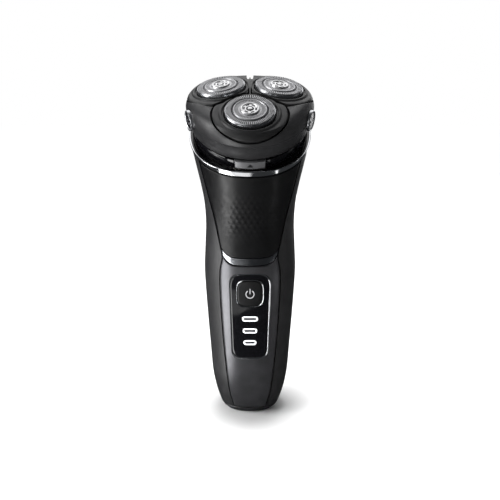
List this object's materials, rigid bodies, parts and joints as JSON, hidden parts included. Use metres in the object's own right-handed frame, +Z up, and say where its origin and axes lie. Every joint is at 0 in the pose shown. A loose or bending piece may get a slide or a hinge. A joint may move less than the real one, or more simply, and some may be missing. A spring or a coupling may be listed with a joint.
{
  "type": "rotary electric shaver",
  "caption": "Upright cordless rotary shaver with a flared grip, a tilted flip-open shaving unit with floating round heads, a lit front display and a pop-up trimmer at the back.",
  "frame": {"origin": "on the flat underside of the base, on the handle's axis", "axes": "+Z up along the handle; -Y is the front with the display; +X is the right-hand side seen from the front"},
  "size_m": [0.058, 0.0585, 0.1618],
  "materials": {
    "housing_black": "satin moulded black",
    "soft_grip": "soft-touch matt",
    "panel_black": "fine satin with a faint facet pattern",
    "plate_grey": "satin metallic dark grey",
    "gloss_black": "polished black",
    "key_black": "matt black with a light power symbol",
    "chrome_trim": "bright plated",
    "light_white": "lit white diffuser",
    "blade_steel": "turned and brushed steel",
    "plain_steel": "plain steel",
    "gear_white": "natural acetal",
    "inner_grey": "plain moulded grey",
    "board_green": "solder-masked board",
    "cell_wrap": "shrink wrap",
    "contact_brass": "plated contact"
  },
  "bodies": {
    "handle": {"front_housing": "housing_black", "rear_housing": "housing_black", "rear_grip": "soft_grip", "neck_panel": "panel_black", "accent_strip": "chrome_trim", "front_plate": "plate_grey", "display_rim": "chrome_trim", "display_lens": "gloss_black", "indicator_bar_1": "light_white", "indicator_bar_2": "light_white", "indicator_bar_3": "light_white", "button_bezel": "chrome_trim", "base_cap": "housing_black", "inlet_pin_left": "contact_brass", "inlet_pin_right": "contact_brass", "chassis": "inner_grey", "battery_cell": "cell_wrap", "circuit_board": "board_green", "tact_switch": "plain_steel", "drive_motor": "plain_steel", "hair_chamber": "gloss_black", "hinge_pin": "plain_steel", "gear_bulkhead": "inner_grey", "neck_ring": "chrome_trim", "trimmer_pin": "plain_steel", "housing_screw_left": "plain_steel", "housing_screw_right": "plain_steel"},
    "power_key": {"power_button": "key_black"},
    "release_key": {"release_button": "plate_grey"},
    "motor_rotor": {"motor_shaft": "plain_steel"},
    "centre_gear": {"centre_gear": "gear_white"},
    "shaving_unit": {"head_shell": "housing_black", "side_badge_left": "gloss_black", "side_badge_right": "gloss_black", "side_badge_rim_left": "chrome_trim", "side_badge_rim_right": "chrome_trim", "retaining_frame": "inner_grey"},
    "retaining_wheel": {"retaining_wheel": "inner_grey"},
    "trimmer": {"trimmer_arm": "housing_black", "trimmer_comb": "blade_steel"},
    "trimmer_blade": {"trimmer_blade": "blade_steel"},
    "trimmer_slide": {"trimmer_slide": "plate_grey"},
    "satellite_front": {"drive_gear_front": "gear_white", "drive_spindle_front": "plain_steel"},
    "pod_front": {"pod_front": "housing_black"},
    "guard_front": {"guard_front": "blade_steel", "guard_cap_front": "chrome_trim"},
    "cutter_front": {"cutter_front": "blade_steel"},
    "satellite_right": {"drive_gear_right": "gear_white", "drive_spindle_right": "plain_steel"},
    "pod_right": {"pod_right": "housing_black"},
    "guard_right": {"guard_right": "blade_steel", "guard_cap_right": "chrome_trim"},
    "cutter_right": {"cutter_right": "blade_steel"},
    "satellite_left": {"drive_gear_left": "gear_white", "drive_spindle_left": "plain_steel"},
    "pod_left": {"pod_left": "housing_black"},
    "guard_left": {"guard_left": "blade_steel", "guard_cap_left": "chrome_trim"},
    "cutter_left": {"cutter_left": "blade_steel"}
  },
  "joints": [
    {"name": "power_button_press", "type": "slide", "parent": "handle", "child": "power_key", "axis": [0, 1, 0], "range_m": [0, 0.0004], "stiffness_N_per_m": 600, "springref_m": -0.0005},
    {"name": "release_button_press", "type": "slide", "parent": "handle", "child": "release_key", "axis": [0, 0.8746, 0.4848], "range_m": [0, 0.001], "stiffness_N_per_m": 600, "springref_m": -0.0005},
    {"name": "centre_gear_spin", "type": "hinge", "parent": "handle", "child": "centre_gear", "pos_m": [0, -0.0007, 0.13301], "axis": [0, -0.4848, 0.8746], "continuous": true},
    {"name": "motor_spin", "type": "hinge", "parent": "handle", "child": "motor_rotor", "pos_m": [0, 0.0054, 0.1], "axis": [0, 0, 1], "continuous": true},
    {"name": "unit_opening", "type": "hinge", "parent": "handle", "child": "shaving_unit", "pos_m": [0, 0.02094, 0.14844], "axis": [-1, 0, 0], "range_deg": [0, 90]},
    {"name": "retaining_wheel_turn", "type": "hinge", "parent": "shaving_unit", "child": "retaining_wheel", "pos_m": [0, -0.00361, 0.13826], "axis": [0, -0.4848, 0.8746], "range_deg": [0, 90]},
    {"name": "trimmer_swing", "type": "hinge", "parent": "handle", "child": "trimmer", "pos_m": [0, 0.0184, 0.1056], "axis": [-1, 0, 0], "range_deg": [0, 80]},
    {"name": "trimmer_blade_stroke", "type": "slide", "parent": "trimmer", "child": "trimmer_blade", "axis": [1, 0, 0], "range_m": [-0.0006, 0.0006]},
    {"name": "trimmer_slide_travel", "type": "slide", "parent": "handle", "child": "trimmer_slide", "axis": [0, 0, -1], "range_m": [0, 0.004]},
    {"name": "drive_gear_front_spin", "type": "hinge", "parent": "handle", "child": "satellite_front", "pos_m": [0, -0.01399, 0.12564], "axis": [0, -0.4848, 0.8746], "continuous": true},
    {"name": "pod_front_tilt", "type": "hinge", "parent": "shaving_unit", "child": "pod_front", "pos_m": [0, -0.0203, 0.13701], "axis": [1, 0, 0], "range_deg": [-2, 2], "stiffness_Nm_per_rad": 0.2},
    {"name": "guard_front_float", "type": "slide", "parent": "pod_front", "child": "guard_front", "axis": [0, -0.6018, 0.7986], "range_m": [-0.0012, 0], "stiffness_N_per_m": 500, "springref_m": 0.0005},
    {"name": "cutter_front_spin", "type": "hinge", "parent": "guard_front", "child": "cutter_front", "pos_m": [0, -0.0249, 0.14532], "axis": [0, -0.6018, 0.7986], "continuous": true},
    {"name": "drive_gear_right_spin", "type": "hinge", "parent": "handle", "child": "satellite_right", "pos_m": [0.01316, 0.00595, 0.1367], "axis": [0, -0.4848, 0.8746], "continuous": true},
    {"name": "pod_right_tilt", "type": "hinge", "parent": "shaving_unit", "child": "pod_right", "pos_m": [0.01316, -0.00036, 0.14807], "axis": [-0.5, 0.7574, 0.4199], "range_deg": [-2, 2], "stiffness_Nm_per_rad": 0.2},
    {"name": "guard_right_float", "type": "slide", "parent": "pod_right", "child": "guard_right", "axis": [0.1205, -0.4192, 0.8998], "range_m": [-0.0012, 0], "stiffness_N_per_m": 500, "springref_m": 0.0005},
    {"name": "cutter_right_spin", "type": "hinge", "parent": "guard_right", "child": "cutter_right", "pos_m": [0.01316, -0.00496, 0.15638], "axis": [0.1205, -0.4192, 0.8998], "continuous": true},
    {"name": "drive_gear_left_spin", "type": "hinge", "parent": "handle", "child": "satellite_left", "pos_m": [-0.01316, 0.00595, 0.1367], "axis": [0, -0.4848, 0.8746], "continuous": true},
    {"name": "pod_left_tilt", "type": "hinge", "parent": "shaving_unit", "child": "pod_left", "pos_m": [-0.01316, -0.00036, 0.14807], "axis": [-0.5, -0.7574, -0.4199], "range_deg": [-2, 2], "stiffness_Nm_per_rad": 0.2},
    {"name": "guard_left_float", "type": "slide", "parent": "pod_left", "child": "guard_left", "axis": [-0.1205, -0.4192, 0.8998], "range_m": [-0.0012, 0], "stiffness_N_per_m": 500, "springref_m": 0.0005},
    {"name": "cutter_left_spin", "type": "hinge", "parent": "guard_left", "child": "cutter_left", "pos_m": [-0.01316, -0.00496, 0.15638], "axis": [-0.1205, -0.4192, 0.8998], "continuous": true}
  ],
  "couplings": [
    {"joint": "motor_spin", "follows": "centre_gear_spin", "ratio": 1},
    {"joint": "trimmer_slide_travel", "follows": "trimmer_swing", "m_per_rad": 0.00286},
    {"joint": "drive_gear_front_spin", "follows": "centre_gear_spin", "ratio": -0.77778},
    {"joint": "cutter_front_spin", "follows": "centre_gear_spin", "ratio": -0.77778},
    {"joint": "drive_gear_right_spin", "follows": "centre_gear_spin", "ratio": -0.77778},
    {"joint": "cutter_right_spin", "follows": "centre_gear_spin", "ratio": -0.77778},
    {"joint": "drive_gear_left_spin", "follows": "centre_gear_spin", "ratio": -0.77778},
    {"joint": "cutter_left_spin", "follows": "centre_gear_spin", "ratio": -0.77778}
  ]
}
